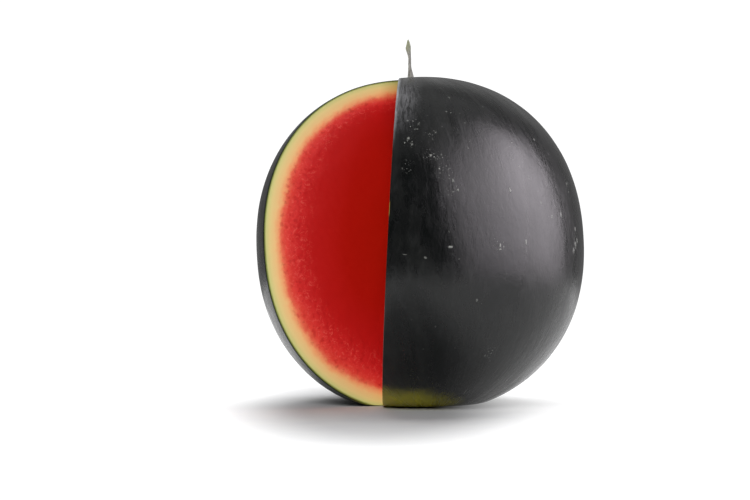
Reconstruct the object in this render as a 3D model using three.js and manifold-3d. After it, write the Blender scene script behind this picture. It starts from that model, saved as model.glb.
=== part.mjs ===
// A round, dark-skinned watermelon with one wedge cut out of it, pole to pole.
// Millimetres. +X right, +Y back, +Z up. The origin is on the floor, on the flat
// spot the fruit rests on, straight below the middle of the fruit.

import * as THREE from 'three';
import { mergeVertices } from 'three/addons/utils/BufferGeometryUtils.js';
import Module from 'manifold-3d';

const wasm = await Module();
wasm.setup();

// ---- Driving dimensions ----

// Body: a surface of revolution about the stem axis.
const HALF_WIDTH = 109.7; // equator radius
const HALF_HEIGHT = 112.5; // middle to either pole
const FULLNESS = 2.2; // exponent of the outline; 2 is an ellipse, more is squarer
const CENTRE_HEIGHT = 106.2; // middle of the fruit above the floor
const BODY_LEAN_BACK = 7.5; // degrees the stem axis leans towards +Y
const BODY_LEAN_LEFT = 3.3; // degrees it leans towards -X
const BODY_SIDES = 72;
const BODY_RINGS = 34;

// Stem end: the shallow dimple that the stem grows out of.
const DIMPLE_RADIUS = 5;
const DIMPLE_DEPTH = 0.4;

// Blossom end: the small hollow at the other pole, mostly pared off by the flat spot.
const SCAR_RADIUS = 8;
const SCAR_DEPTH = 0.8;

// The missing wedge: two knife planes that meet along one line inside the fruit.
const CUT_X = -19.3; // where that line crosses the height of the fruit's middle
const CUT_Y = -1.8;
const CUT_LEAN_BACK = 9.3; // degrees the line leans towards +Y
const CUT_LEAN_RIGHT = 2.9; // degrees it leans towards +X
const NEAR_CUT = 1.3; // bearing of the first plane, degrees from -Y towards -X
const FAR_CUT = 69.0; // bearing of the second plane
const REACH = 320; // how far the cutting prism extends

// Stem: a short dried stalk with a flared foot and a swollen, pinched-off tip.
const STEM_LENGTH = 27;
const STEM_GAP = 0.35; // clearance between the foot and the dimple
const STEM_FOOT_RADIUS = 2.0;
const STEM_SHAFT_RADIUS = 0.95;
const STEM_TIP_RADIUS = 1.6;
const STEM_BEND = 0.9; // sideways drift of the tip
const STEM_LEAN_BACK = 4;
const STEM_LEAN_LEFT = 1.5;
const STEM_SIDES = 16;

// ---- Helpers ----

const radians = (degrees) => (degrees * Math.PI) / 180;

// Turn that tips +Z back (towards +Y) and left (towards -X).
function lean(back, left) {
  const tipBack = new THREE.Matrix4().makeRotationX(-radians(back));
  const tipLeft = new THREE.Matrix4().makeRotationY(-radians(left));
  return tipBack.multiply(tipLeft);
}

// One closed mesh with shared vertices and no collapsed triangles.
function weld(geometry) {
  geometry.deleteAttribute('normal');
  geometry.deleteAttribute('uv');
  const merged = mergeVertices(geometry, 1e-4);
  const index = merged.index.array;
  const kept = [];
  for (let i = 0; i < index.length; i += 3) {
    const [a, b, c] = [index[i], index[i + 1], index[i + 2]];
    if (a !== b && b !== c && c !== a) kept.push(a, b, c);
  }
  merged.setIndex(kept);
  return merged;
}

function toSolid(geometry) {
  const merged = weld(geometry);
  return new wasm.Manifold(
    new wasm.Mesh({
      numProp: 3,
      vertProperties: new Float32Array(merged.attributes.position.array),
      triVerts: new Uint32Array(merged.index.array),
    }),
  );
}

function toGeometry(solid) {
  const mesh = solid.getMesh();
  const geometry = new THREE.BufferGeometry();
  const stride = mesh.numProp;
  const count = mesh.vertProperties.length / stride;
  const position = new Float32Array(count * 3);
  for (let i = 0; i < count; i++) {
    for (let k = 0; k < 3; k++) position[3 * i + k] = mesh.vertProperties[stride * i + k];
  }
  geometry.setAttribute('position', new THREE.BufferAttribute(position, 3));
  geometry.setIndex(new THREE.BufferAttribute(new Uint32Array(mesh.triVerts), 1));
  geometry.computeVertexNormals();
  return geometry;
}

// Turned solid about +Z from [radius, height] pairs that run bottom to top.
function turned(outline, sides) {
  const points = outline.map(([r, z]) => new THREE.Vector2(r, z));
  return new THREE.LatheGeometry(points, sides).rotateX(Math.PI / 2);
}

// Smooth hollow: full depth on the axis, fading to nothing at its radius.
function hollow(r, radius, depth) {
  return r < radius ? depth * (1 - (r / radius) ** 2) ** 2 : 0;
}

// ---- Fruit ----

// Outline of the whole fruit from the blossom pole up to the stem pole.
function bodyOutline() {
  const power = 2 / FULLNESS;
  const outline = [];
  for (let i = 0; i <= BODY_RINGS; i++) {
    const t = -Math.PI / 2 + (Math.PI * i) / BODY_RINGS;
    const onAxis = i === 0 || i === BODY_RINGS;
    const r = onAxis ? 0 : HALF_WIDTH * Math.cos(t) ** power;
    const height = HALF_HEIGHT * Math.abs(Math.sin(t)) ** power;
    const z = t > 0
      ? height - hollow(r, DIMPLE_RADIUS, DIMPLE_DEPTH)
      : -height + hollow(r, SCAR_RADIUS, SCAR_DEPTH);
    outline.push([r, z]);
  }
  return outline;
}

function wholeBody() {
  const geometry = turned(bodyOutline(), BODY_SIDES);
  geometry.applyMatrix4(lean(BODY_LEAN_BACK, BODY_LEAN_LEFT));
  return geometry.translate(0, 0, CENTRE_HEIGHT);
}

// Everything below the floor, pared off to leave the flat spot.
function belowFloor() {
  return new THREE.BoxGeometry(REACH, REACH, 60).translate(0, 0, -30);
}

// Prism between the two knife planes.
function wedge() {
  const shape = new THREE.Shape();
  shape.moveTo(0, 0);
  for (const bearing of [FAR_CUT, NEAR_CUT]) {
    const a = radians(bearing);
    shape.lineTo(-Math.sin(a) * REACH, -Math.cos(a) * REACH);
  }
  shape.closePath();
  const prism = new THREE.ExtrudeGeometry(shape, { depth: 2 * REACH, bevelEnabled: false });
  prism.translate(0, 0, -REACH);
  prism.applyMatrix4(lean(CUT_LEAN_BACK, -CUT_LEAN_RIGHT));
  return prism.translate(CUT_X, CUT_Y, CENTRE_HEIGHT);
}

function fruitGeometry() {
  const body = toSolid(wholeBody());
  return toGeometry(body.subtract(toSolid(belowFloor())).subtract(toSolid(wedge())));
}

// ---- Stem ----

function stemOutline() {
  return [
    [0, 0],
    [STEM_FOOT_RADIUS, 0],
    [STEM_FOOT_RADIUS, 0.8],
    [STEM_FOOT_RADIUS * 0.88, 2.9],
    [STEM_SHAFT_RADIUS * 1.5, 5.4],
    [STEM_SHAFT_RADIUS * 1.06, 8],
    [STEM_SHAFT_RADIUS, 12],
    [STEM_SHAFT_RADIUS * 1.05, 16],
    [STEM_TIP_RADIUS * 0.82, 18.7],
    [STEM_TIP_RADIUS, 20.9],
    [STEM_TIP_RADIUS * 0.86, 23],
    [STEM_TIP_RADIUS * 0.55, 25.2],
    [STEM_TIP_RADIUS * 0.25, STEM_LENGTH - 0.4],
    [0, STEM_LENGTH],
  ];
}

// Straight stalk bent sideways, more towards the tip.
function stemGeometry() {
  const geometry = weld(turned(stemOutline(), STEM_SIDES));
  const position = geometry.attributes.position;
  for (let i = 0; i < position.count; i++) {
    const along = position.getZ(i) / STEM_LENGTH;
    position.setX(i, position.getX(i) - STEM_BEND * along * along);
  }
  geometry.computeVertexNormals();
  return geometry;
}

// Bottom of the dimple, where the stem axis leaves the fruit.
function stemEnd() {
  const pole = new THREE.Vector3(0, 0, HALF_HEIGHT - DIMPLE_DEPTH + STEM_GAP);
  pole.applyMatrix4(lean(BODY_LEAN_BACK, BODY_LEAN_LEFT));
  return pole.add(new THREE.Vector3(0, 0, CENTRE_HEIGHT));
}

// ---- Assembly ----

const skin = new THREE.MeshStandardMaterial({ color: 0x2b3130, roughness: 0.42, metalness: 0 });
const stalk = new THREE.MeshStandardMaterial({ color: 0x7a7464, roughness: 0.85, metalness: 0 });

const fruit = new THREE.Mesh(fruitGeometry(), skin);
fruit.name = 'fruit';

const stem = new THREE.Mesh(stemGeometry(), stalk);
stem.name = 'stem';
stem.position.copy(stemEnd());
stem.rotation.setFromRotationMatrix(lean(STEM_LEAN_BACK, STEM_LEAN_LEFT));

const group = new THREE.Group();
group.add(fruit, stem);

export default group;
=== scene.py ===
import math

import bpy
import numpy as np
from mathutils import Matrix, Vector, noise


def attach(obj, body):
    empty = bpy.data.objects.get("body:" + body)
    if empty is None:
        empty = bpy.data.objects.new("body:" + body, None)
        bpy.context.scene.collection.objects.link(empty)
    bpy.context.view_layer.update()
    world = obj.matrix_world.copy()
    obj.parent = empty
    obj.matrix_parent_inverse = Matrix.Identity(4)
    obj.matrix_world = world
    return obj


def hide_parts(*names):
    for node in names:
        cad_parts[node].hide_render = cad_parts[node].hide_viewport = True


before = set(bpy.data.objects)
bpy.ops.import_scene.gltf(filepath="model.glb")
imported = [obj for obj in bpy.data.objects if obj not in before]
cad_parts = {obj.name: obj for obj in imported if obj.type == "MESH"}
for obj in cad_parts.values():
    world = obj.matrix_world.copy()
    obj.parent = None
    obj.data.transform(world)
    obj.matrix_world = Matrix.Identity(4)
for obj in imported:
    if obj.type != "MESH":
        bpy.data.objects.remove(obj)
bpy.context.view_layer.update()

# A round, dark-skinned watermelon with one wedge cut out of it, pole to pole.
# Metres; the same frame as the CAD: +X right, +Y back, +Z up, origin on the floor.
# The fruit's own frame stands upright on the stem's axis, with its origin in the middle.
MM = 0.001

# Body of the fruit, as in the CAD.
HALF_WIDTH = 109.7 * MM
HALF_HEIGHT = 112.5 * MM
FULLNESS = 2.2  # exponent of the outline; 2 is an ellipse, more is squarer
CENTRE = np.array([0.0, 0.0, 106.2 * MM])
BODY_LEAN = (7.5, 3.3)  # degrees back, degrees left
DIMPLE = (5 * MM, 0.4 * MM)  # radius and depth of the hollow under the stem
SCAR = (8 * MM, 0.8 * MM)  # and of the one at the other end
FLOOR_ROUNDING = 2.5 * MM  # how softly the skin turns into the flat spot

# The missing wedge, as in the CAD: two knife planes that meet along one line.
CUT_POINT = np.array([-19.3 * MM, -1.8 * MM, 106.2 * MM])
CUT_LEAN = (9.3, -2.9)
NEAR_CUT = 1.3  # bearings of the planes, degrees from -Y towards -X
FAR_CUT = 69.0
EDGE_RADIUS = 0.45 * MM

# Fineness of the visual surface.
SKIN_COLUMNS = 300
ROWS = 190
EDGE_STEPS = 4
EDGE_TURN = 0.4  # degrees past a cut where the run of the skin is measured
FLESH_RINGS = 90
RIM_CROWDING = 0.45  # 0 spaces the rings of a cut face evenly, 1 crowds them at the rim

# The bake map: its margin, and the metres of a cut face that would fill it each way.
UV_MARGIN = 0.004
FACE_MAP = (0.262, 0.236)

# Stem: height along it and radius there, in millimetres, from below the skin to the tip.
STEM_OUTLINE = [
    (-0.6, 2.4), (0.3, 2.1), (1.0, 1.95), (2.9, 1.74), (5.4, 1.38), (8.0, 1.0), (12, 0.92),
    (16, 0.97), (18.7, 1.32), (20.9, 1.64), (23, 1.34), (25.2, 0.84), (26.6, 0.4), (27, 0.14),
]
STEM_LEAN = (4, 1.5)
STEM_BEND = 0.9  # millimetres that the tip drifts to the left
STEM_SIDES = 40
STEM_RINGS = 90

# Where pale specks cluster: bearing round the fruit in degrees from -Y towards +X, then
# the height above its middle and the cluster's radius in millimetres.
SCUFFS = [
    (0, 72, 7), (6, 64, 5), (-2.5, 60, 5), (5, 50, 6), (8.5, 45, 7), (9.5, 38, 7),
    (11.5, 27, 7), (-3.5, 43, 5), (68.5, -8, 9), (68, 32, 6), (26.5, -10, 6), (29.5, -78, 6),
    (-143, 40, 12), (151, -10, 12),
]
# Single pale scuffs: bearing, height and radius as above, then height over width.
SINGLE_SCUFFS = [
    (69.5, 1.5, 1.3, 1.3), (71, -6, 1.4, 1.5), (69, -9, 1.8, 1.5), (67, -13, 1.5, 1.5),
    (68, 32, 0.9, 1.6), (33.5, 25, 0.7, 3.0), (38.5, -9, 0.6, 3.4), (9.5, -11.5, 1.6, 0.5),
    (27.5, -14, 1.2, 0.5), (55, 61, 0.9, 1.0), (5, 49.5, 0.9, 1.2),
]
# The ground spot, where the fruit lay: its middle once its width is squeezed, and where it
# starts and ends fading out.
GROUND_SQUEEZE = 0.8
GROUND_SPOT = (-0.014, -0.027, -0.109)
GROUND_REACH = (0.018, 0.042)
EDGE_NICK = (-0.0193, -0.1073, 0.0158)  # the small nick in the near cut's edge

# Ripeness: millimetres in from the skin, and the screen colour there. The rind-to-red stops are
# the flesh's own colour; the darkening of the deepest stops is partly painted shade, where the
# near part of the fruit keeps the light off the faces towards the cut's line.
RIPENESS_AND_SHADE = [
    (0.0, (24, 34, 20)), (0.45, (44, 58, 26)), (1.0, (126, 140, 64)), (1.8, (211, 215, 139)),
    (4.6, (236, 217, 146)), (8.2, (246, 205, 140)), (11.2, (248, 169, 114)),
    (13.6, (236, 108, 80)), (16.2, (228, 72, 60)), (20.0, (219, 55, 51)), (25.5, (205, 39, 39)),
    (36.0, (188, 26, 25)), (58.0, (177, 21, 12)), (84.0, (172, 21, 6)),
]

# Camera: far away and slightly above, as in the photograph; AIM is the X and Z it looks at.
CAMERA_DISTANCE = 3.3
CAMERA_RISE = 2.6
LENS = 236.17
AIM = (-0.03024, 0.1030)

# Floor: the oval of soft shade is given by one over its half width and half length, and by
# its middle at that scale.
FLOOR_RADIUS = 0.62
FLOOR_DROP = 0.4 * MM  # keeps the floor clear of the fruit's flat spot
SHADE_SCALE = (1 / 0.12, 1 / 0.35, 1.0)
SHADE_MIDDLE = (-0.03 / 0.12, -0.085 / 0.35, 0.0)
FLOOR_GLOW = 0.71

# World: how far back its light starts and ends rising, and its strength there and there.
ROOM = (-0.2, 0.9, 0.06, 0.25)
BACKDROP = 1.1  # its strength to the camera

# Curtain of tall panels on the right, which makes the big reflection on the skin.
CURTAIN_TINT = (1.0, 0.93, 1.0)
CURTAIN_DISTANCE = 1.5
CURTAIN_FIRST = 26  # bearing of the first panel, from -Y towards +X
CURTAIN_STEP = 12
CURTAIN_HEIGHTS = (-0.3, 3.1)
CURTAIN_RADIANCE = (3.6, 4.0, 4.9, 6.0, 7.3, 8.1, 8.2, 4.9)
# Height above the floor, and the share of the full light there.
CURTAIN_FADE = [
    (-0.3, 0.35), (0.0, 0.5), (0.25, 0.72), (0.55, 0.92), (0.9, 1.0), (1.2, 0.95),
    (1.7, 0.68), (2.3, 0.38), (3.1, 0.16),
]

# Lamps that face the fruit: bearing from -Y towards +X, rise, distance, size, power, and
# whether it gives a shine or a soft light.
LAMPS = {
    "ceiling": (0, 90, 1.8, (2.4, 2.4), 6.2, "shine"),
    "rim": (180, 27, 2.0, (2.0, 0.9), 0.9, "shine"),
    "top": (165, 66, 1.9, (1.5, 1.1), 32, "light"),
    "fill": (-17, 30, 2.0, (1.4, 1.0), 28.5, "light"),
}
WHITE = (1, 1, 1)


# ---- Geometry helpers ----


def lean(back, left):
    """Turn that tips +Z back (towards +Y) and left (towards -X)."""
    b, g = math.radians(back), math.radians(left)
    tip_back = np.array(
        [[1, 0, 0], [0, math.cos(b), math.sin(b)], [0, -math.sin(b), math.cos(b)]]
    )
    tip_left = np.array(
        [[math.cos(g), 0, -math.sin(g)], [0, 1, 0], [math.sin(g), 0, math.cos(g)]]
    )
    return tip_back @ tip_left


BODY = lean(*BODY_LEAN)
CUT = lean(*CUT_LEAN)
CUT_LINE = CUT @ np.array([0, 0, 1.0])  # direction of the line where the planes meet


def to_body(p):
    """World points in the fruit's own frame."""
    return (p - CENTRE) @ BODY


def hollow(r, radius, depth):
    """Smooth hollow: full depth on the axis, fading to nothing at its radius."""
    return np.where(r < radius, depth * (1 - np.minimum(r / radius, 1) ** 2) ** 2, 0)


def inside_body(p):
    q = to_body(p)
    r = np.hypot(q[..., 0], q[..., 1])
    height = HALF_HEIGHT * np.clip(1 - (r / HALF_WIDTH) ** FULLNESS, 0, None) ** (1 / FULLNESS)
    top = height - hollow(r, *DIMPLE)
    bottom = -height + hollow(r, *SCAR)
    return (r < HALF_WIDTH) & (q[..., 2] < top) & (q[..., 2] > bottom)


def skin_distance(directions):
    """How far the skin is from CUT_POINT along each unit direction, found by halving."""
    far_outside, halvings = 0.4, 34
    lo = np.zeros(directions.shape[:-1])
    hi = np.full(directions.shape[:-1], far_outside)
    for _ in range(halvings):
        mid = (lo + hi) / 2
        within = inside_body(CUT_POINT + mid[..., None] * directions)
        lo, hi = np.where(within, mid, lo), np.where(within, hi, mid)
    down = np.minimum(directions[..., 2], -1e-6)
    floor = CUT_POINT[2] / -down
    # A smooth least of the two distances rounds the skin into the flat spot.
    h = np.clip(0.5 + (floor - lo) / (2 * FLOOR_ROUNDING), 0, 1)
    soft = floor * (1 - h) + lo * h - FLOOR_ROUNDING * h * (1 - h)
    return np.minimum(soft, floor)


def bearing(degrees, rise):
    """Unit direction from the cut's line: bearing from -Y towards -X, then rise."""
    a, b = np.radians(degrees), np.radians(rise)
    local = np.stack(
        [-np.sin(a) * np.cos(b), -np.cos(a) * np.cos(b), np.sin(b) * np.ones_like(a)], -1
    )
    return local @ CUT.T


def level(degrees):
    """Unit direction at right angles to the cut's line, at one bearing."""
    return bearing(np.array([degrees]), np.array([0.0]))[0]


def fbm(p, scale, octaves, seed):
    """Soft noise about zero at each point; scale is the size of its largest lumps."""
    out = np.empty(len(p))
    shift = Vector((seed, seed * 1.7, -seed))
    for i, c in enumerate(p):
        out[i] = noise.fractal(Vector(c / scale) + shift, 1.0, 2.0, octaves)
    return out


def new_mesh(name, verts, faces, smooth=True):
    mesh = bpy.data.meshes.new(name)
    mesh.from_pydata([tuple(v) for v in verts], [], faces)
    mesh.update()
    if smooth:
        mesh.shade_smooth()
    else:
        mesh.shade_flat()
    obj = bpy.data.objects.new(name, mesh)
    bpy.context.scene.collection.objects.link(obj)
    return obj


def add_values(obj, name, values):
    layer = obj.data.attributes.new(name, "FLOAT", "POINT")
    layer.data.foreach_set("value", np.asarray(values, np.float32))


def add_vectors(obj, name, values):
    layer = obj.data.attributes.new(name, "FLOAT_VECTOR", "POINT")
    layer.data.foreach_set("vector", np.asarray(values, np.float32).ravel())


def add_uv(obj, corner_uv):
    layer = obj.data.uv_layers.new(name="OFBake")
    layer.data.foreach_set("uv", np.asarray(corner_uv, np.float32).ravel())


# ---- Skin ----


def row_angles(ends=False):
    """Rises from the lower to the upper end of the cut's line."""
    rise = np.linspace(-90, 90, ROWS + 2)
    return rise if ends else rise[1:-1]


def skin_point(degrees, rise):
    d = bearing(degrees, rise)
    return CUT_POINT + skin_distance(d)[..., None] * d


def edge_radius(rise):
    """Rounding of the cuts' edges, which dies away at both ends of the cut's line."""
    return EDGE_RADIUS * np.clip(np.cos(np.radians(rise)) * 6, 0, 1)


def edge_columns(degrees, sign, rise):
    """Columns that round the skin over into one cut face, from the face outwards."""
    radius = edge_radius(rise)
    rim = skin_point(np.full_like(rise, degrees), rise)
    inward = -bearing(np.full_like(rise, degrees), rise)
    ahead = skin_point(np.full_like(rise, degrees + sign * EDGE_TURN), rise) - rim
    away = ahead / np.linalg.norm(ahead, axis=1)[:, None]
    columns = []
    for i in range(EDGE_STEPS + 1):
        t = math.pi / 2 * i / EDGE_STEPS
        along_face = (1 - math.sin(t)) * radius[:, None]
        along_skin = (1 - math.cos(t)) * radius[:, None]
        columns.append(rim + inward * along_face + away * along_skin)
    return columns


def skin_grid():
    """Points of the skin by column and row, from the far cut round to the near one."""
    rise = row_angles()
    first, last = FAR_CUT, 360 + NEAR_CUT
    width = np.degrees(edge_radius(rise) / (HALF_WIDTH * np.cos(np.radians(rise))))
    columns = edge_columns(first, 1, rise)
    for k in range(1, SKIN_COLUMNS):
        t = k / SKIN_COLUMNS
        columns.append(skin_point(first + width + (last - first - 2 * width) * t, rise))
    columns += edge_columns(last, -1, rise)[::-1]
    return np.stack(columns)


def skin_relief(points):
    """Gentle unevenness of the grown surface."""
    return fbm(points, 0.06, 3, 3.1) * 0.22 * MM + fbm(points, 0.018, 2, 8.2) * 0.06 * MM


def raised_skin(grid):
    """The grid's points with the relief, which fades out at the cuts and at the floor."""
    n_col, n_row = grid.shape[:2]
    flat = grid.reshape(-1, 3)
    out = flat - CENTRE
    out /= np.linalg.norm(out, axis=1)[:, None]
    ramp = np.clip(np.minimum(np.arange(n_col), np.arange(n_col)[::-1]) - EDGE_STEPS, 0, 8) / 8
    fade = np.repeat(ramp, n_row) * np.clip(flat[:, 2] / (12 * MM), 0, 1)
    return flat + out * (skin_relief(flat) * fade)[:, None]


def skin_faces(n_col, n_row):
    """Quads between the columns and a fan at either end, with each corner's bake map."""
    low, high = n_col * n_row, n_col * n_row + 1
    faces, uv = [], []
    u = np.linspace(UV_MARGIN, 1 - UV_MARGIN, n_col)
    v = np.linspace(5 * UV_MARGIN, 1 - 5 * UV_MARGIN, n_row)
    for i in range(n_col - 1):
        for j in range(n_row - 1):
            a = i * n_row + j
            faces.append((a, a + 1, a + n_row + 1, a + n_row))
            uv += [(u[i], v[j]), (u[i], v[j + 1]), (u[i + 1], v[j + 1]), (u[i + 1], v[j])]
        a = i * n_row
        middle = (u[i] + u[i + 1]) / 2
        faces.append((low, a, a + n_row))
        uv += [(middle, UV_MARGIN), (u[i], v[0]), (u[i + 1], v[0])]
        a += n_row - 1
        faces.append((high, a + n_row, a))
        uv += [(middle, 1 - UV_MARGIN), (u[i + 1], v[-1]), (u[i], v[-1])]
    return faces, uv


def build_skin():
    grid = skin_grid()
    n_col, n_row = grid.shape[:2]
    ends = [skin_point(np.array([0.0]), np.array([s * 90.0]))[0] for s in (-1, 1)]
    verts = np.vstack([raised_skin(grid), ends])
    faces, uv = skin_faces(n_col, n_row)
    skin = new_mesh("melon_skin", verts, faces)
    add_uv(skin, uv)
    add_vectors(skin, "grown", to_body(verts))
    add_values(skin, "depth", cut_depth(n_col, n_row))
    add_values(skin, "near_edge", near_edge_gap(verts))
    return skin


def near_edge_gap(points):
    """Millimetres from the near cut's plane, for the side of the fruit it faces."""
    along = level(NEAR_CUT)
    rel = points - CUT_POINT
    gap = np.abs(rel @ np.cross(along, CUT_LINE)) / MM
    far_away = 99.0
    return np.where(rel @ along > 0, gap, far_away)


def cut_depth(n_col, n_row):
    """Millimetres in from the skin: more than nothing only where the edge rounds over."""
    depth = np.zeros((n_col, n_row))
    radius = edge_radius(row_angles()) / MM
    for i in range(EDGE_STEPS + 1):
        share = 1 - math.sin(math.pi / 2 * i / EDGE_STEPS)
        depth[i] = depth[n_col - 1 - i] = radius * share
    return np.append(depth.ravel(), [0, 0])


# ---- Cut faces ----


def gauge(p):
    """0 in the fruit's middle, 1 on its grown outside."""
    q = to_body(p)
    r = np.hypot(q[:, 0], q[:, 1]) / HALF_WIDTH
    z = np.abs(q[:, 2]) / HALF_HEIGHT
    return (r**FULLNESS + z**FULLNESS) ** (1 / FULLNESS)


def depth_below_skin(p):
    """Distance in from the outside, which sets the flesh's colour: how ripe it is, and the
    painted shade deep in towards the cut's line; sooner up high.
    """
    depth = np.clip((1 - gauge(p)) * (HALF_WIDTH + HALF_HEIGHT) / 2, 0, None)
    high = to_body(p)[:, 2] / HALF_HEIGHT
    low, high = np.clip(high, -0.4, 0), np.clip(high, 0, 1)
    sooner = 3.2 * high**4 * np.clip(depth - 12 * MM, 0, None)
    return depth * (1 + 0.28 * high**2 + 0.10 * low) + sooner


def ring_shares():
    """Places from the rim (1) towards the cut's line (0), closer together near the rim."""
    t = np.linspace(0, 1, FLESH_RINGS + 1)[:-1]
    return 1 - ((1 - RIM_CROWDING) * t + RIM_CROWDING * t**2)


def face_points(degrees):
    """Points of one flat cut face by ring and row, from the rim inwards."""
    rise = row_angles(ends=True)
    direction = bearing(np.full_like(rise, degrees), rise)
    reach = skin_distance(direction) - edge_radius(rise)
    return CUT_POINT + direction[None] * (reach[None] * ring_shares()[:, None])[..., None]


def flesh_relief(p, depth):
    """Torn grains near the rind, gentle knife waves everywhere."""
    grains = fbm(p, 0.0042, 3, 21.0)
    waves = fbm(p, 0.022, 2, 5.0)
    d = depth / MM
    grainy = np.clip((d - 9) / 6, 0, 1) * (0.2 + 0.8 * np.exp(-(((d - 19) / 12) ** 2)))
    return grains * grainy * 0.32 * MM + waves * np.clip((d - 6) / 12, 0, 1) * 0.35 * MM


def from_cut_line(p):
    return np.linalg.norm(np.cross(p - CUT_POINT, CUT_LINE), axis=1)


def cut_face(degrees):
    """One cut face's points with the relief, and their places along and up the face."""
    grid = face_points(degrees)
    n_ring, n_row = grid.shape[:2]
    flat = grid.reshape(-1, 3)
    along = level(degrees)
    outward = np.cross(along, CUT_LINE)
    outward *= np.sign(outward @ level((NEAR_CUT + FAR_CUT) / 2))
    fade = np.repeat(np.clip(np.arange(n_ring) / 3, 0, 1), n_row)
    fade *= np.clip(from_cut_line(flat) / (6 * MM), 0, 1) * np.clip(flat[:, 2] / (3 * MM), 0, 1)
    relief = flesh_relief(flat, depth_below_skin(flat))
    flat = flat + outward * (relief * fade)[:, None]
    rel = flat - CUT_POINT
    return flat, np.stack([rel @ along / FACE_MAP[0], 0.5 + rel @ CUT_LINE / FACE_MAP[1]], 1)


def cut_face_faces():
    """Quads from ring to ring, then a fan about the cut's line, which is the last vertex."""
    n_row = ROWS + 2
    for i in range(FLESH_RINGS - 1):
        for j in range(n_row - 1):
            a = i * n_row + j
            yield (a, a + n_row, a + n_row + 1, a + 1)
    last = (FLESH_RINGS - 1) * n_row
    for j in range(n_row - 1):
        yield (last + j, FLESH_RINGS * n_row, last + j + 1)


def build_flesh():
    verts, faces, uv = [], [], []
    for degrees in (FAR_CUT, NEAR_CUT):
        points, map_place = cut_face(degrees)
        map_place = np.vstack([map_place, [0, 0.5]])
        map_place[:, 0] += UV_MARGIN
        if degrees == NEAR_CUT:  # this face is mirrored: it fills the map from the right
            map_place[:, 0] = 1 - map_place[:, 0]
        base = len(verts)
        verts += [*points, CUT_POINT]
        for face in cut_face_faces():
            order = face if degrees == FAR_CUT else face[::-1]
            faces.append(tuple(base + k for k in order))
            uv.extend(tuple(map_place[k]) for k in order)
    verts = np.array(verts)
    flesh = new_mesh("melon_flesh", verts, faces)
    add_uv(flesh, uv)
    add_values(flesh, "depth", depth_below_skin(verts) / MM)
    add_vectors(flesh, "grown", to_body(verts))
    # Where the painted shade darkens the flesh near the top of the cuts' line.
    add_values(flesh, "hinge", hinge_painted_shade(verts))
    return flesh


def hinge_painted_shade(p):
    """1 where the cuts meet at the top, fading away from there: painted shade that darkens the
    flesh where the two cut faces shade each other.
    """
    high = to_body(p)[:, 2] / HALF_HEIGHT
    near = np.clip((14 - from_cut_line(p) / MM) / 12, 0, 1)
    return near * np.clip((high - 0.45) / 0.45, 0, 1)


# ---- Stem ----


def stem_ring(h, r, turn):
    """One ribbed ring of the stem at height h, in millimetres."""
    ribs = 1 + 0.12 * np.cos(5 * turn + h * 0.10) + 0.05 * np.cos(11 * turn - h * 0.22)
    pinch = 1 - 0.22 * math.exp(-(((h - 21) / 3.0) ** 2))  # the tip is pinched
    x = r * ribs * np.cos(turn)
    y = r * ribs * np.sin(turn) * pinch
    drift = -STEM_BEND * max(h, 0) ** 2 / STEM_OUTLINE[-1][0] ** 2 + 0.1 * math.sin(h * 0.55)
    drift -= 0.22 * math.exp(-(((h - 20.5) / 1.8) ** 2))  # the bulge hangs to the left
    return np.stack([x + drift, y + 0.1 * math.sin(h * 0.4), np.full_like(x, h)], 1)


def stem_points(base, tilt):
    """Rings from the foot to the tip, then the middles of the two ends."""
    heights, radii = np.array(STEM_OUTLINE).T
    z = np.linspace(heights[0], heights[-1], STEM_RINGS)
    radius = np.interp(z, heights, radii)
    for _ in range(3):
        radius[1:-1] = (radius[:-2] + 2 * radius[1:-1] + radius[2:]) / 4
    turn = np.linspace(0, 2 * math.pi, STEM_SIDES, endpoint=False)
    rings = [stem_ring(h, r, turn) * MM @ tilt.T + base for h, r in zip(z, radius)]
    verts = np.vstack(rings)
    verts += np.stack([fbm(verts, 0.0016, 2, 40.0 + k) for k in range(3)], 1) * 0.07 * MM
    top = verts[-STEM_SIDES:].mean(0) + tilt @ np.array([0, 0, 0.15 * MM])
    return np.vstack([verts, verts[:STEM_SIDES].mean(0), top])


def stem_faces():
    faces = []
    for i in range(STEM_RINGS - 1):
        for j in range(STEM_SIDES):
            a, b = i * STEM_SIDES + j, i * STEM_SIDES + (j + 1) % STEM_SIDES
            faces.append((a, b, b + STEM_SIDES, a + STEM_SIDES))
    low, high = STEM_RINGS * STEM_SIDES, STEM_RINGS * STEM_SIDES + 1
    last = (STEM_RINGS - 1) * STEM_SIDES
    for j in range(STEM_SIDES):
        k = (j + 1) % STEM_SIDES
        faces += [(low, k, j), (high, last + j, last + k)]
    return faces


def build_stem():
    base = BODY @ np.array([0, 0, HALF_HEIGHT - DIMPLE[1]]) + CENTRE
    tilt = lean(*STEM_LEAN)
    verts = stem_points(base, tilt)
    stem = new_mesh("melon_stem", verts, stem_faces())
    add_vectors(stem, "grown", (verts - base) @ tilt)
    return stem


# ---- Materials ----


def fill_ramp(ramp, stops):
    """Give a colour ramp its stops: (place, linear colour)."""
    while len(ramp.elements) < len(stops):
        ramp.elements.new(0.5)
    for element, (place, _) in zip(ramp.elements, stops):
        element.position = place
    for element, (_, colour) in zip(ramp.elements, stops):
        element.color = (*colour, 1)


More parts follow.
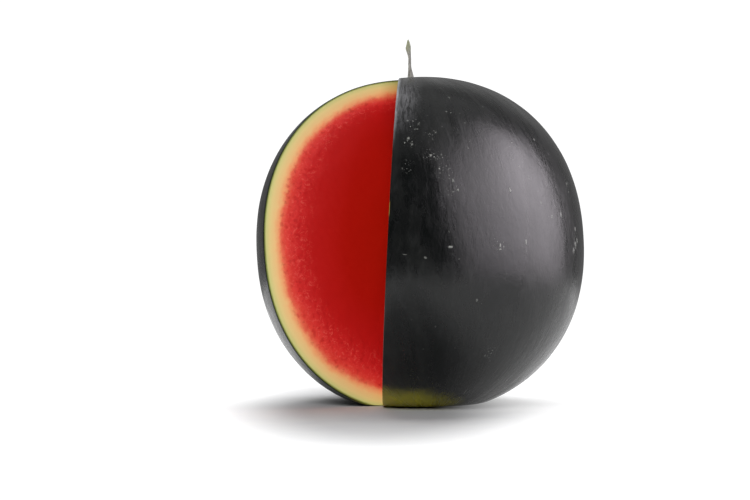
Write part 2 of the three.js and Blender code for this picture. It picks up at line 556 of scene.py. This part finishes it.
class Graph:
    """A material's node tree, built from its patterns up to the shader."""

    def __init__(self, name):
        self.material = bpy.data.materials.new(name)
        self.material.use_nodes = True
        self.tree = self.material.node_tree
        self.shader = self.tree.nodes["Principled BSDF"]

    def node(self, kind, inputs=None, **settings):
        made = self.tree.nodes.new("ShaderNode" + kind)
        for key, value in settings.items():
            setattr(made, key, value)
        for key, value in (inputs or {}).items():
            self.put(made.inputs[key], value)
        return made

    def put(self, socket, value):
        if isinstance(value, bpy.types.NodeSocket):
            self.tree.links.new(value, socket)
        else:
            socket.default_value = value

    def math(self, operation, a, b=0.0, c=0.0, clamp=False):
        made = self.node("Math", operation=operation, use_clamp=clamp)
        for socket, value in zip(made.inputs, (a, b, c)):
            self.put(socket, value)
        return made.outputs[0]

    def value(self, name):
        return self.node("Attribute", attribute_name=name).outputs["Fac"]

    def vector(self, name):
        return self.node("Attribute", attribute_name=name).outputs["Vector"]

    def split(self, vector):
        return self.node("SeparateXYZ", {"Vector": vector}).outputs

    def scaled(self, vector, scale):
        made = self.node("VectorMath", operation="MULTIPLY")
        self.put(made.inputs[0], vector)
        self.put(made.inputs[1], scale)
        return made.outputs[0]

    def distance(self, vector, point):
        made = self.node("VectorMath", operation="DISTANCE")
        self.put(made.inputs[0], vector)
        self.put(made.inputs[1], point)
        return made.outputs["Value"]

    def noise(self, vector, scale, detail, rough, warp=0.0):
        made = self.node(
            "TexNoise",
            {"Vector": vector, "Scale": scale, "Detail": detail, "Roughness": rough,
             "Distortion": warp},
        )
        return made.outputs["Fac"]

    def cells(self, vector, scale):
        return self.node("TexVoronoi", {"Vector": vector, "Scale": scale, "Randomness": 1.0})

    def step(self, value, low, high, first=0.0, second=1.0):
        """Smooth step from first to second while the value goes from low to high."""
        made = self.node(
            "MapRange",
            {"Value": value, "From Min": low, "From Max": high, "To Min": first,
             "To Max": second},
            interpolation_type="SMOOTHSTEP",
        )
        return made.outputs["Result"]

    def ramp(self, value, stops):
        """Colour by value; stops are (place, linear colour)."""
        made = self.node("ValToRGB", {"Fac": value})
        fill_ramp(made.color_ramp, stops)
        return made.outputs["Color"]

    def mix(self, share, a, b, blend="MIX"):
        made = self.node("Mix", data_type="RGBA", blend_type=blend)
        self.put(made.inputs["Factor"], share)
        for key, value in (("A", a), ("B", b)):
            socket = [i for i in made.inputs if i.name == key and i.type == "RGBA"][0]
            self.put(socket, (*value, 1) if isinstance(value, tuple) else value)
        return [o for o in made.outputs if o.type == "RGBA"][0]

    def bump(self, height, distance, strength, normal=None):
        inputs = {"Height": height, "Distance": distance, "Strength": strength}
        if normal is not None:
            inputs["Normal"] = normal
        return self.node("Bump", inputs).outputs["Normal"]

    def finish(self, colour, roughness, normal, specular):
        self.put(self.shader.inputs["Base Color"], colour)
        self.put(self.shader.inputs["Roughness"], roughness)
        self.put(self.shader.inputs["Normal"], normal)
        self.shader.inputs["Specular IOR Level"].default_value = specular
        return self.material


def srgb(r, g, b):
    """Linear colour of an 8-bit screen colour."""
    def one(c):
        c /= 255
        return c / 12.92 if c <= 0.04045 else ((c + 0.055) / 1.055) ** 2.4
    return (one(r), one(g), one(b))


def around(g, grown, rise):
    """Coordinates that run round the fruit and up it, so that noise on them is streaks."""
    x, y, z = g.split(grown)
    r = g.math("SQRT", g.math("ADD", g.math("MULTIPLY", x, x), g.math("MULTIPLY", y, y)))
    r = g.math("MAXIMUM", r, 4 * MM)  # nothing is divided by nothing on the axis
    made = g.node("CombineXYZ")
    parts = (g.math("DIVIDE", x, r), g.math("DIVIDE", y, r), g.math("MULTIPLY", z, rise))
    for socket, part in zip(made.inputs, parts):
        g.put(socket, part)
    return made.outputs[0]


def specks(g, place, per_metre, smallest, largest, empty, seed, ragged):
    """1 on small marks in the cells of a pattern.

    The marks' sizes are shares of a cell, a share of the cells stays empty, and ragged
    says how torn the marks' edges are.
    """
    moved = g.node("VectorMath", operation="ADD")
    g.put(moved.inputs[0], place)
    g.put(moved.inputs[1], (seed, seed * 0.7, -seed))
    cell = g.cells(moved.outputs[0], per_metre)
    pick = g.node("SeparateColor", {"Color": cell.outputs["Color"]}).outputs
    chosen = g.step(pick[0], empty, empty + 0.02)
    size = g.math("MULTIPLY_ADD", pick[1], largest - smallest, smallest)
    near = g.math("DIVIDE", cell.outputs["Distance"], size)
    torn = g.math("SUBTRACT", g.noise(moved.outputs[0], per_metre * 4, 2, 0.6), 0.5)
    near = g.math("MULTIPLY_ADD", torn, ragged, near)
    strength = g.math("MULTIPLY_ADD", pick[2], 0.7, 0.3)
    mark = g.math("MULTIPLY", g.step(near, 0.4, 1.0, 1.0, 0.0), chosen)
    return g.math("MULTIPLY", mark, strength)


def on_skin(degrees, up):
    """Place on the skin in the fruit's own frame: bearing from -Y towards +X, height in mm."""
    a, z = math.radians(degrees), up * MM
    r = HALF_WIDTH * (1 - (abs(z) / HALF_HEIGHT) ** FULLNESS) ** (1 / FULLNESS)
    return (r * math.sin(a), -r * math.cos(a), z)


def in_clusters(g, grown):
    """1 inside the clusters of specks, 0 outside."""
    inside = 0.0
    for degrees, up, radius in SCUFFS:
        gap = g.math("DIVIDE", g.distance(grown, on_skin(degrees, up)), radius * MM)
        inside = g.math("MAXIMUM", inside, g.step(gap, 0.5, 1.15, 1.0, 0.0))
    return inside


def skin_marks(g, grown):
    """Pale marks: specks scattered widely, specks in clusters, and single scuffs."""
    wide = g.step(g.noise(grown, 16, 3, 0.55), 0.52, 0.72)
    upright = g.scaled(grown, (1.0, 1.0, 0.62))
    small = specks(g, upright, 150, 0.08, 0.26, 0.86, 1.3, 1.2)
    tiny = specks(g, grown, 330, 0.10, 0.26, 0.80, 4.1, 1.2)
    scattered = g.math("MULTIPLY", g.math("MAXIMUM", small, tiny), wide)
    thick = specks(g, upright, 430, 0.14, 0.44, 0.62, 7.7, 2.0)
    fine = g.math("MULTIPLY", specks(g, grown, 900, 0.2, 0.5, 0.62, 2.2, 2.0), 0.6)
    thick = g.math("MULTIPLY", g.math("MAXIMUM", thick, fine), in_clusters(g, grown))
    marks = g.math("MAXIMUM", scattered, thick)
    torn = g.math("SUBTRACT", g.noise(grown, 1500, 3, 0.6), 0.5)
    for degrees, up, radius, tall in SINGLE_SCUFFS:
        x, y, z = on_skin(degrees, up)
        gap = g.distance(g.scaled(grown, (1.0, 1.0, 1 / tall)), (x, y, z / tall))
        gap = g.math("MULTIPLY_ADD", torn, 2.4, g.math("DIVIDE", gap, radius * MM))
        marks = g.math("MAXIMUM", marks, g.step(gap, 0.35, 1.15, 0.8, 0.0))
    return marks


def skin_tone(g, grown, streaks, wisps, mottle):
    """Near-black skin with lighter streaks, under a thin grey smoke."""
    tone = g.math("MULTIPLY_ADD", streaks, 0.4, g.math("MULTIPLY", mottle, 0.3))
    tone = g.math("MULTIPLY_ADD", wisps, 0.3, tone)
    colour = g.ramp(
        tone,
        [(0.36, srgb(5, 8, 7)), (0.48, srgb(9, 11, 11)), (0.56, srgb(15, 17, 16)),
         (0.66, srgb(28, 29, 29))],
    )
    smoke = g.step(g.noise(around(g, grown, 5.0), 9, 5, 0.68, 1.6), 0.50, 0.72)
    return g.mix(g.math("MULTIPLY", smoke, 0.16), colour, srgb(50, 50, 52))


def ground_spot(g, grown, colour):
    """The yellow patch low down, with a ragged edge."""
    spot = g.distance(g.scaled(grown, (GROUND_SQUEEZE, 1.0, 1.0)), GROUND_SPOT)
    ragged = g.math("MULTIPLY_ADD", g.noise(grown, 80, 4, 0.6), 0.012, spot)
    return g.mix(g.step(ragged, *GROUND_REACH, 1.0, 0.0), colour, srgb(176, 168, 24))


def near_cut_band(g, grown, colour, wisps, mottle, brushed):
    """Beside the near cut: a painted highlight along it, a painted sheen in streaks below the
    stem, and a real nick.
    """
    height = g.split(grown)[2]
    edge = g.value("near_edge")
    gap = g.math("MULTIPLY_ADD", wisps, 2.8, edge)
    # Painted highlight: a pale line along the near cut's edge, where the rounded skin catches
    # the light.
    painted_edge_highlight = g.math("MULTIPLY", g.step(gap, 1.6, 3.6, 1.0, 0.0), g.step(height, 0.052, 0.085))
    painted_edge_highlight = g.math("MULTIPLY", painted_edge_highlight, g.math("MULTIPLY_ADD", mottle, 1.6, -0.05, clamp=True))
    colour = g.mix(painted_edge_highlight, colour, srgb(154, 158, 162))
    # Painted sheen: pale streaks below the stem beside the near cut, where the skin reflects
    # the light from above.
    painted_sheen = g.step(brushed, 0.34, 0.66, 0.05, 0.42)
    painted_sheen = g.math("MULTIPLY", painted_sheen, g.step(height, 0.062, 0.09))
    painted_sheen = g.math("MULTIPLY", painted_sheen, g.step(height, 0.097, 0.107, 1.0, 0.2))
    painted_sheen = g.math("MULTIPLY", painted_sheen, g.step(edge, 2.0, 19.0, 1.0, 0.0))
    colour = g.mix(painted_sheen, colour, srgb(148, 147, 151))
    nick = g.step(g.distance(grown, EDGE_NICK), 0.003, 0.006, 1.0, 0.0)
    nick = g.math("MULTIPLY", nick, g.step(edge, 0.2, 0.7, 1.0, 0.0))
    return g.mix(g.math("MULTIPLY", nick, 0.8), colour, srgb(150, 132, 60))


def skin_material():
    g = Graph("watermelon_skin")
    grown = g.vector("grown")
    streaks = g.noise(around(g, grown, 2.2), 5.5, 5, 0.55, 0.5)
    wisps = g.noise(around(g, grown, 4.0), 16, 4, 0.6, 0.9)
    brushed = g.noise(around(g, grown, 3.0), 55, 4, 0.62, 0.6)
    mottle = g.noise(grown, 70, 5, 0.62)
    marks = skin_marks(g, grown)
    scratch = g.step(g.noise(around(g, grown, 14.0), 11, 2, 0.5, 1.4), 0.745, 0.775)
    faint = g.math("MAXIMUM", marks, g.math("MULTIPLY", scratch, 0.4))
    colour = skin_tone(g, grown, streaks, wisps, mottle)
    colour = g.mix(g.math("MULTIPLY", faint, 0.85), colour, srgb(160, 162, 156))
    colour = ground_spot(g, grown, colour)
    colour = near_cut_band(g, grown, colour, wisps, mottle, brushed)
    depth = g.math("ADD", g.value("depth"), g.math("MULTIPLY_ADD", mottle, 0.3, -0.15))
    colour = g.mix(g.step(depth, 0.15, 0.45), colour, srgb(54, 70, 32))  # the cut rind
    rough = g.math("MULTIPLY_ADD", g.step(streaks, 0.40, 0.62), 0.09, 0.09)
    for pattern, share in ((wisps, 0.18), (mottle, 0.12)):
        rough = g.math("MULTIPLY_ADD", pattern, share, rough)
    rough = g.math("MULTIPLY_ADD", faint, 0.25, rough, clamp=True)
    normal = g.bump(g.noise(grown, 700, 3, 0.6), 0.1 * MM, 0.5)
    normal = g.bump(g.noise(grown, 190, 3, 0.55), 0.26 * MM, 0.42, normal)
    normal = g.bump(wisps, 0.9 * MM, 0.20, normal)
    normal = g.bump(brushed, 0.4 * MM, 0.20, normal)
    normal = g.bump(marks, 0.2 * MM, 0.5, normal)
    return g.finish(colour, rough, normal, specular=0.37)


def ripe_and_shaded_colour(g, grown, depth, deep):
    """Rind to heart by depth, with the borders made uneven; the darker red deep in is partly
    painted shade.
    """
    wobble = g.math("SUBTRACT", g.noise(grown, 45, 4, 0.55), 0.5)
    small = g.math("SUBTRACT", g.noise(grown, 260, 4, 0.6), 0.5)
    place = g.math("MULTIPLY_ADD", g.math("MULTIPLY", wobble, deep), 7.0, depth)
    place = g.math("MULTIPLY_ADD", g.math("MULTIPLY", small, deep), 4.0, place)
    far = RIPENESS_AND_SHADE[-1][0]
    return g.ramp(g.math("DIVIDE", place, far), [(d / far, srgb(*c)) for d, c in RIPENESS_AND_SHADE])


def torn_band(g, grown, depth):
    """1 where the flesh is torn rather than cut clean: in patches a little way in."""
    torn = g.math("MULTIPLY", g.step(depth, 9, 14), g.step(depth, 24, 40, 1.0, 0.0))
    patchy = g.math("MULTIPLY_ADD", g.noise(grown, 55, 3, 0.5), 1.1, 0.1, clamp=True)
    return g.math("MULTIPLY", torn, patchy)


def flesh_material():
    g = Graph("watermelon_flesh")
    grown = g.vector("grown")
    depth = g.value("depth")
    deep = g.step(depth, 2.0, 12.0)
    colour = ripe_and_shaded_colour(g, grown, depth, deep)
    torn = torn_band(g, grown, depth)
    lumps = g.noise(grown, 330, 2, 0.5)
    ridge = g.math("ABSOLUTE", g.math("SUBTRACT", g.noise(grown, 250, 2, 0.5, 0.8), 0.5))
    arcs = g.math("MULTIPLY", g.step(ridge, 0.008, 0.04, 1.0, 0.0), g.step(lumps, 0.42, 0.6))
    light = g.math("MULTIPLY", arcs, torn)
    dark = g.math("MULTIPLY", g.step(lumps, 0.30, 0.46, 1.0, 0.0), torn)
    colour = g.mix(g.math("MULTIPLY", light, 0.55), colour, srgb(240, 112, 98))
    colour = g.mix(g.math("MULTIPLY", dark, 0.5), colour, srgb(168, 22, 22))
    # Painted shade: the flesh is darkened where the cuts meet at the top.
    shaded = g.mix(1.0, colour, srgb(212, 203, 190), blend="MULTIPLY")
    colour = g.mix(g.value("hinge"), colour, shaded)
    rough = g.math("MULTIPLY_ADD", lumps, 0.25, 0.34, clamp=True)
    grainy = g.math("MULTIPLY", g.math("MULTIPLY_ADD", torn, 0.85, 0.15), deep)
    grains = g.math("MULTIPLY", g.cells(grown, 300.0).outputs["Distance"], grainy)
    normal = g.bump(grains, 0.6 * MM, 0.4)
    normal = g.bump(g.math("MULTIPLY", lumps, torn), 0.8 * MM, 0.5, normal)
    normal = g.bump(g.noise(grown, 900, 2, 0.5), 0.08 * MM, 0.4, normal)
    return g.finish(colour, rough, normal, specular=0.12)


def stem_material():
    g = Graph("watermelon_stem")
    grown = g.vector("grown")
    fibres = g.noise(g.scaled(grown, (1.0, 1.0, 0.09)), 1900, 4, 0.65)
    blotch = g.noise(grown, 260, 3, 0.6)
    tone = g.math("MULTIPLY_ADD", fibres, 0.65, g.math("MULTIPLY", blotch, 0.35))
    colour = g.ramp(
        tone,
        [(0.32, srgb(88, 84, 80)), (0.46, srgb(146, 143, 137)), (0.6, srgb(186, 184, 176)),
         (0.74, srgb(214, 212, 202))],
    )
    greener = g.math("MULTIPLY", g.step(g.split(grown)[2], 0.016, 0.023), 0.6)
    colour = g.mix(greener, colour, srgb(166, 172, 128))  # towards the tip
    rough = g.math("MULTIPLY_ADD", fibres, 0.3, 0.6, clamp=True)
    normal = g.bump(fibres, 0.3 * MM, 0.8)
    return g.finish(colour, rough, normal, specular=0.3)


# ---- Stage ----


def build_floor():
    """Round table top; its own light whitens it all round the soft shade."""
    sides = 96
    turn = np.linspace(0, 2 * math.pi, sides, endpoint=False)
    ring = np.stack([np.cos(turn), np.sin(turn), np.zeros(sides)], 1) * FLOOR_RADIUS
    ring[:, 2] = -FLOOR_DROP
    floor = new_mesh("studio_floor", ring, [tuple(range(sides))], smooth=False)
    g = Graph("studio_white")
    place = g.node("TexCoord").outputs["Object"]
    grain = g.noise(place, 40, 2, 0.5)
    colour = g.ramp(grain, [(0.3, (0.49, 0.49, 0.50)), (0.7, (0.51, 0.51, 0.51))])
    g.put(g.shader.inputs["Base Color"], colour)
    g.shader.inputs["Roughness"].default_value = 0.9
    g.shader.inputs["Specular IOR Level"].default_value = 0.0
    g.shader.inputs["Emission Color"].default_value = (*WHITE, 1)
    gap = g.distance(g.scaled(place, SHADE_SCALE), SHADE_MIDDLE)
    glow = g.step(gap, 0.33, 1.0, 0.0, FLOOR_GLOW)
    g.put(g.shader.inputs["Emission Strength"], glow)
    floor.data.materials.append(g.material)


def lamp_at(name, where, towards, size, power, colour, gives):
    """Rectangular lamp that gives a shine or a soft light."""
    data = bpy.data.lights.new(name, "AREA")
    data.shape, (data.size, data.size_y) = "RECTANGLE", size
    data.energy, data.color = power, colour
    lamp = bpy.data.objects.new(name, data)
    lamp.location = where
    lamp.rotation_mode = "QUATERNION"
    lamp.rotation_quaternion = (where - towards).to_track_quat("Z", "Y")
    lamp.visible_camera = False
    lamp.visible_glossy = gives == "shine"
    lamp.visible_diffuse = gives == "light"
    bpy.context.scene.collection.objects.link(lamp)
    return lamp


def softbox(name, bearing_deg, rise_deg, distance, size, power, gives):
    """Lamp that faces the fruit."""
    a, e = math.radians(bearing_deg), math.radians(rise_deg)
    out = Vector((math.sin(a) * math.cos(e), -math.cos(a) * math.cos(e), math.sin(e)))
    middle = Vector((0, 0, 0.11))
    lamp_at(name, middle + out * distance, middle, size, power, WHITE, gives)


def fade_panel(lamp, stops):
    """Dim a lamp along its height by a ramp: (share of the height, brightness)."""
    lamp.data.use_nodes = True
    tree = lamp.data.node_tree
    place = tree.nodes.new("ShaderNodeNewGeometry").outputs["Parametric"]
    parts = tree.nodes.new("ShaderNodeSeparateXYZ")
    tree.links.new(place, parts.inputs[0])
    fade = tree.nodes.new("ShaderNodeValToRGB")
    tree.links.new(parts.outputs[1], fade.inputs["Fac"])
    fill_ramp(fade.color_ramp, stops)
    tree.links.new(fade.outputs["Color"], tree.nodes["Emission"].inputs["Strength"])


def build_curtain():
    """Tall panels side by side, each fading towards its foot and its top."""
    width = 2 * CURTAIN_DISTANCE * math.tan(math.radians(CURTAIN_STEP / 2))
    low, high = CURTAIN_HEIGHTS
    for k, radiance in enumerate(CURTAIN_RADIANCE):
        a = math.radians(CURTAIN_FIRST + k * CURTAIN_STEP)
        out = Vector((math.sin(a), -math.cos(a), 0)) * CURTAIN_DISTANCE
        middle = Vector((0, 0, (low + high) / 2))
        size = (width, high - low)
        power = radiance * math.pi * size[0] * size[1]
        lamp = lamp_at(f"key_{k}", middle + out, middle, size, power, CURTAIN_TINT, "shine")
        stops = []
        for height, share in CURTAIN_FADE:
            if k == 0:  # the first panel stays dark near the floor
                share *= min(max((height - 0.1) / 0.8, 0.1), 1)
            stops.append(((height - low) / (high - low), (share,) * 3))
        fade_panel(lamp, stops)


def build_world():
    """White to look at; as a light, a pale backdrop behind and a dim room in front."""
    world = bpy.data.worlds.new("studio")
    bpy.context.scene.world = world
    world.use_nodes = True
    tree = world.node_tree
    ground = tree.nodes["Background"]
    ground.inputs["Color"].default_value = (*WHITE, 1)
    parts = tree.nodes.new("ShaderNodeSeparateXYZ")
    where = tree.nodes.new("ShaderNodeTexCoord")
    tree.links.new(where.outputs["Generated"], parts.inputs[0])
    room = tree.nodes.new("ShaderNodeMapRange")
    room.interpolation_type = "SMOOTHSTEP"
    tree.links.new(parts.outputs[1], room.inputs["Value"])
    for key, value in zip(("From Min", "From Max", "To Min", "To Max"), ROOM):
        room.inputs[key].default_value = value
    path = tree.nodes.new("ShaderNodeLightPath")
    span = tree.nodes.new("ShaderNodeMapRange")
    tree.links.new(path.outputs["Is Camera Ray"], span.inputs["Value"])
    tree.links.new(room.outputs["Result"], span.inputs["To Min"])
    span.inputs["To Max"].default_value = BACKDROP
    tree.links.new(span.outputs["Result"], ground.inputs["Strength"])


def build_camera():
    data = bpy.data.cameras.new("camera")
    data.lens, data.sensor_width = LENS, 36
    data.clip_start, data.clip_end = 0.05, 100
    camera = bpy.data.objects.new("camera", data)
    e = math.radians(CAMERA_RISE)
    back = Vector((0, -math.cos(e), math.sin(e)))
    aim = Vector((AIM[0], 0, AIM[1]))
    camera.location = aim + back * CAMERA_DISTANCE
    camera.rotation_mode = "QUATERNION"
    camera.rotation_quaternion = (-back).to_track_quat("-Z", "Y")
    bpy.context.scene.collection.objects.link(camera)
    bpy.context.scene.camera = camera


def dress(piece, node, material):
    piece.data.materials.append(material)
    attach(piece, "root")
    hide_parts(node)


dress(build_skin(), "fruit", skin_material())
dress(build_flesh(), "fruit", flesh_material())
dress(build_stem(), "stem", stem_material())
build_floor()
build_world()
build_camera()
build_curtain()
for name, settings in LAMPS.items():
    softbox(name, *settings)
bpy.context.scene.view_settings.view_transform = "Standard"
